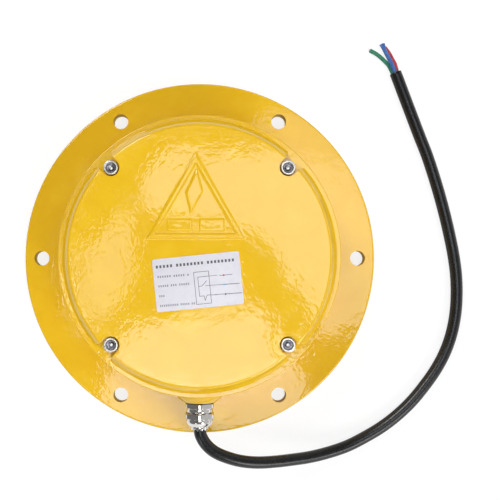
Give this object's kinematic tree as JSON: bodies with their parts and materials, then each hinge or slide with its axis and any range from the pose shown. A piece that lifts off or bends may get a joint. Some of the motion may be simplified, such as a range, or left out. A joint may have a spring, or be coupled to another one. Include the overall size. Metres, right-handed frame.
{
  "type": "chute blockage switch",
  "caption": "Round cast switch case with a bolted flange, a sprung diaphragm push plate, a screwed cover, a metal cable gland and a short free cable.",
  "frame": {"origin": "middle of the flange's mounting face, at the base of the case", "axes": "+Z from the mounting face towards the screwed cover, -Y towards the cable gland, +X completes the frame"},
  "size_m": [0.3273, 0.3144, 0.0708],
  "materials": {
    "yellow_paint": "thick glossy yellow paint on a casting",
    "black_rubber": "moulded black rubber",
    "stainless": "turned stainless steel",
    "zinc_steel": "zinc-plated steel",
    "spring_steel": "drawn spring steel",
    "brass": "turned brass",
    "label_film": "pale printed film label, satin",
    "switch_plastic": "moulded black thermoset plastic",
    "button_plastic": "moulded red plastic",
    "roller_plastic": "moulded ivory plastic",
    "sleeve_plastic": "soft translucent red insulation",
    "nickel": "nickel-plated brass, bright",
    "cable_black": "smooth black cable sheath",
    "core_red": "red core insulation",
    "core_blue": "blue core insulation",
    "core_green": "green core insulation"
  },
  "bodies": {
    "case": {"housing": "yellow_paint", "rear_cover": "yellow_paint", "cover_gasket": "black_rubber", "cover_screws": "stainless", "label": "label_film", "clamp_ring": "stainless", "clamp_screws": "stainless", "diaphragm": "black_rubber", "return_spring": "spring_steel", "bridge": "zinc_steel", "bridge_screws": "stainless", "guide_bush": "brass", "switch_bracket": "zinc_steel", "bracket_screws": "stainless", "switch_case": "switch_plastic", "lever_pin": "stainless", "switch_screws": "stainless", "switch_nuts": "zinc_steel", "switch_terminals": "brass", "terminal_sleeves": "sleeve_plastic", "gland_gasket": "black_rubber", "gland_body": "nickel", "gland_seal": "black_rubber", "gland_nut": "nickel", "gland_locknut": "nickel", "cable_inner": "cable_black", "inner_core_red": "core_red", "inner_core_blue": "core_blue", "inner_core_green": "core_green", "cable_sheath": "cable_black", "core_red": "core_red", "core_blue": "core_blue", "core_green": "core_green"},
    "plunger": {"push_plate": "stainless", "backing_plate": "zinc_steel", "plunger_rod": "stainless", "clamp_sleeve": "zinc_steel", "stop_nut": "zinc_steel"},
    "lever": {"switch_lever": "spring_steel", "roller_pin": "stainless"},
    "roller": {"lever_roller": "roller_plastic"},
    "button": {"switch_button": "button_plastic"}
  },
  "joints": [
    {"name": "plunger_slide", "type": "slide", "parent": "case", "child": "plunger", "axis": [0, 0, 1], "range_m": [0, 0.005], "stiffness_N_per_m": 800, "springref_m": -0.006, "deforming": ["diaphragm", "return_spring"]},
    {"name": "lever_hinge", "type": "hinge", "parent": "case", "child": "lever", "pos_m": [0.00925, 0, 0.0612], "axis": [0, -1, 0], "range_deg": [0, 6.7]},
    {"name": "button_slide", "type": "slide", "parent": "case", "child": "button", "axis": [1, 0, 0], "range_m": [0, 0.00095]},
    {"name": "roller_spin", "type": "hinge", "parent": "lever", "child": "roller", "pos_m": [0.00545, 0, 0.0454], "axis": [0, 1, 0], "range_deg": [0, 135]}
  ],
  "couplings": [
    {"joint": "lever_hinge", "follows": "plunger_slide", "rad_per_m": 22.935},
    {"joint": "button_slide", "follows": "plunger_slide", "ratio": 0.18429},
    {"joint": "roller_spin", "follows": "plunger_slide", "rad_per_m": 448.61}
  ]
}
